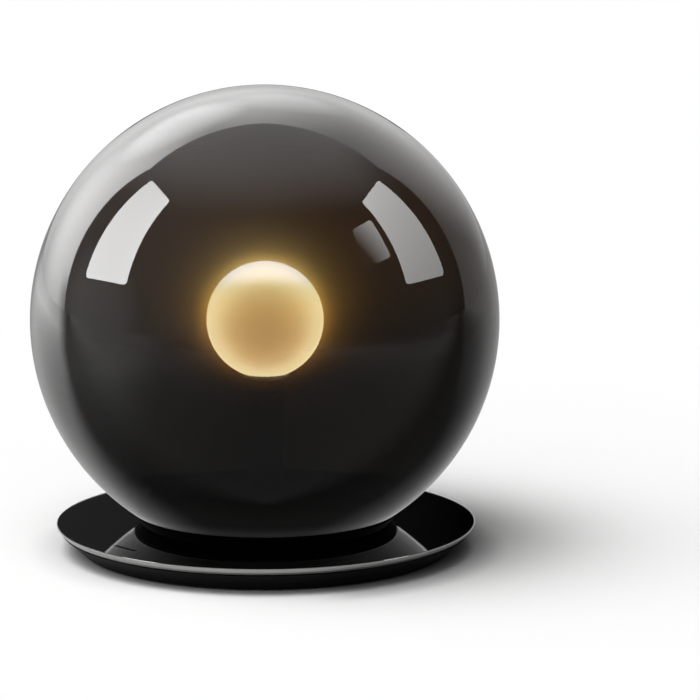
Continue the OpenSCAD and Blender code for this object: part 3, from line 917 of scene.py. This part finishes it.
def dim_table(x, y, left, past_edge):
    """The table before the edge: a glow at the left, and a faint strip in the middle."""
    out = abs(x)
    near_by = NEAR_LIGHT * out.at_most(NEAR_WIDEST) * (1 - out.step(*NEAR_LOST_OUT))
    side_glow = (SIDE_GLOW_FROM - SIDE_GLOW_X * x).at_least(0.0).at_most(SIDE_GLOW_MOST)
    side_glow = side_glow * (1 - SIDE_GLOW_LOST * (-y / out).step(*SIDE_GLOW_SPAN))
    level = DIM_LEVEL + near_by + DIM_RIGHT * x.step(*DIM_RIGHT_X) + side_glow
    at_edge = DIM_AT_EDGE + DIM_AT_EDGE_LEFT * left
    fade = DIM_FADE + DIM_FADE_OUT * out.at_most(DIM_FADE_WIDEST)
    level = level * (at_edge + (1 - at_edge) * (-past_edge / fade).step(0.0, 1.0))
    strip = STRIP_LIGHT * (1 - (-out / y).step(*STRIP_SPAN)) * (-y).step(*STRIP_Y)
    return (level + strip) * (1 - DIM_LOST_RIGHT * x.step(*DIM_LOST_X))


def table_light(s, at):
    """The table as the globe's lower half sees it."""
    x, y = axes(s, at)[:2]
    left = (-x).step(*LEFT_X)
    past_edge = y - (EDGE_SLOPE * (x * x + EDGE_BEND).root() - EDGE_FORWARD)
    soft = EDGE_SOFT + EDGE_SOFT_OUT * abs(x).at_most(WIDEST)
    behind = (past_edge / soft).step(*EDGE_SPAN)
    front = dim_table(x, y, left, past_edge) * (1 - behind)
    back = lit_table(x, y, left, past_edge) * behind
    collar_line = COLLAR_LINE * (1 - from_axis(x, y).step(*COLLAR_LINE_R))
    return (front + back).at_least(CARD_LEAST) + collar_line


def see_through(s):
    return s.node("ShaderNodeBsdfTransparent", {}, {})


def pale_face(s):
    return glow(s, grey(CARD_BACK_TONE))


def ring_card(name, inner, outer, material):
    turns = CARD_TURNS
    points = on_circle(inner, CARD_Z, turns) + on_circle(outer, CARD_Z, turns)
    faces = [(i, turns + i, turns + (i + 1) % turns, (i + 1) % turns) for i in range(turns)]
    only_in_gloss(flat_piece(name, points, faces, material))


ring_card("plate_card", COLLAR_FOOT_R, PLATE_R, glowing("plate_sheen", table_light, see_through))
ring_card("table_card", PLATE_R, CARD_OUT, glowing("table_sheen", table_light, pale_face))


# Rear card: dim, behind the lamp, where the plate mirrors it

REAR_HALF = 0.135
REAR_Y = 0.6
REAR_LOW = 0.11
REAR_HIGH = 0.20
REAR_LIGHT = 0.0145
REAR_SLOPE = (-0.114, 0.0, 0.0)
REAR_CORNERS = [
    (-REAR_HALF, REAR_Y, REAR_LOW),
    (REAR_HALF, REAR_Y, REAR_LOW),
    (REAR_HALF, REAR_Y, REAR_HIGH),
    (-REAR_HALF, REAR_Y, REAR_HIGH),
]
rear_dim = glowing("card_dim", sloped(REAR_LIGHT, REAR_SLOPE))
only_in_gloss(flat_piece("rear_card", REAR_CORNERS, [(0, 1, 2, 3)], rear_dim))


# Light panels that the glass mirrors, with their corners as seen from the globe's middle.
# A separate scratch program worked out the boxes' corners from where the photo mirrors them.

PANEL_STEPS = 5
BOX_CORNER_R = 0.05
LEFT_BOX_LIGHT = 13.4
LEFT_BOX_SLOPE = (0.0, -7.0, 0.0)
RIGHT_BOX_LIGHT = 2.8
RIGHT_BOX_SLOPE = (0.0, -3.6, 3.8)
SMALL_CARD_CORNER_R = 0.03
SMALL_CARD_FAR = 1.3
SMALL_CARD_LIGHT = 10.7
SMALL_CARD_SLOPE = (0.0, 18.2, 0.0)
SMALL_CARD_LEAST = 0.2
LEFT_BOX = [
    (-1.2, 0.405, 1.444),
    (-1.2, -0.206, 1.568),
    (-1.2, -0.392, 0.373),
    (-1.2, 0.199, 0.255),
]
RIGHT_BOX = [
    (1.2, 0.399, 1.416),
    (1.2, -0.199, 1.498),
    (1.2, -0.355, 0.354),
    (1.2, 0.210, 0.259),
]
SMALL_CARD = [
    SMALL_CARD_FAR * towards(106.5, 44.0),
    SMALL_CARD_FAR * towards(109.0, 27.8),
    SMALL_CARD_FAR * towards(128.0, 27.0),
    SMALL_CARD_FAR * towards(122.5, 44.0),
]


def soft_panel(name, corners, corner_r, material):
    """A four-sided light panel with rounded corners."""
    corners = [GLOBE_MID + Vector(corner) for corner in corners]
    points = []
    for i, corner in enumerate(corners):
        back = (corners[i - 1] - corner).normalized() * corner_r
        on = (corners[(i + 1) % len(corners)] - corner).normalized() * corner_r
        for k in range(PANEL_STEPS + 1):
            t = k / PANEL_STEPS
            points.append(corner + back * (1 - t) ** 2 + on * t ** 2)
    only_in_gloss(flat_piece(name, points, [tuple(range(len(points)))], material))


def small_card_light(s, at):
    """Bright at its outer edge, fading away towards the front."""
    return sloped(SMALL_CARD_LIGHT, SMALL_CARD_SLOPE)(s, at).at_least(SMALL_CARD_LEAST)


left_white = glowing("left_box_white", sloped(LEFT_BOX_LIGHT, LEFT_BOX_SLOPE))
right_white = glowing("right_box_white", sloped(RIGHT_BOX_LIGHT, RIGHT_BOX_SLOPE))
small_white = glowing("small_card_white", small_card_light)
soft_panel("left_box", LEFT_BOX, BOX_CORNER_R, left_white)
soft_panel("right_box", RIGHT_BOX, BOX_CORNER_R, right_white)
soft_panel("small_card", SMALL_CARD, SMALL_CARD_CORNER_R, small_white)


# Room: soft light from the upper left, and plain white where it is seen

world = bpy.data.worlds.new("white_room")
bpy.context.scene.world = world
room = emptied(world)
room_ray = room.node("ShaderNodeTexCoord", {}, {}, "Generated")
room_x, room_y = axes(room, room_ray)[:2]
through = ray_kind(room, "Is Transmission Ray")
seen = ray_kind(room, "Is Camera Ray").at_least(through * seen_clear(room_x, room_y))
seen = seen.at_least(ray_kind(room, "Is Glossy Ray"))
soft_light = patches(room, room_ray, ROOM_LEVEL, ROOM_PATCHES) * (1 - through)
wall_colour = seen.blend(as_grey(room, soft_light), grey(1.0))
walls = room.node("ShaderNodeBackground", {}, {"Color": wall_colour, "Strength": 1.0})
room.node("ShaderNodeOutputWorld", {}, {"Surface": walls})


# Camera

lens = bpy.data.cameras.new("camera")
lens.lens = LENS_MM
lens.sensor_width = SENSOR_MM
lens.clip_start = CLIP_NEAR
lens.clip_end = CLIP_FAR
camera = bpy.data.objects.new("camera", lens)
bpy.context.scene.collection.objects.link(camera)
view_back = Vector((0.0, -math.cos(VIEW_RISE), math.sin(VIEW_RISE)))
view_up = Vector((0.0, math.sin(VIEW_RISE), math.cos(VIEW_RISE)))
camera.location = GLOBE_MID + VIEW_FAR * view_back
aim = GLOBE_MID + AIM_RIGHT * Vector((1.0, 0.0, 0.0)) - AIM_DROP * view_up
camera.rotation_euler = (aim - camera.location).to_track_quat("-Z", "Y").to_euler()
bpy.context.scene.camera = camera
bpy.context.scene.view_settings.view_transform = "Standard"

bpy.context.view_layer.update()
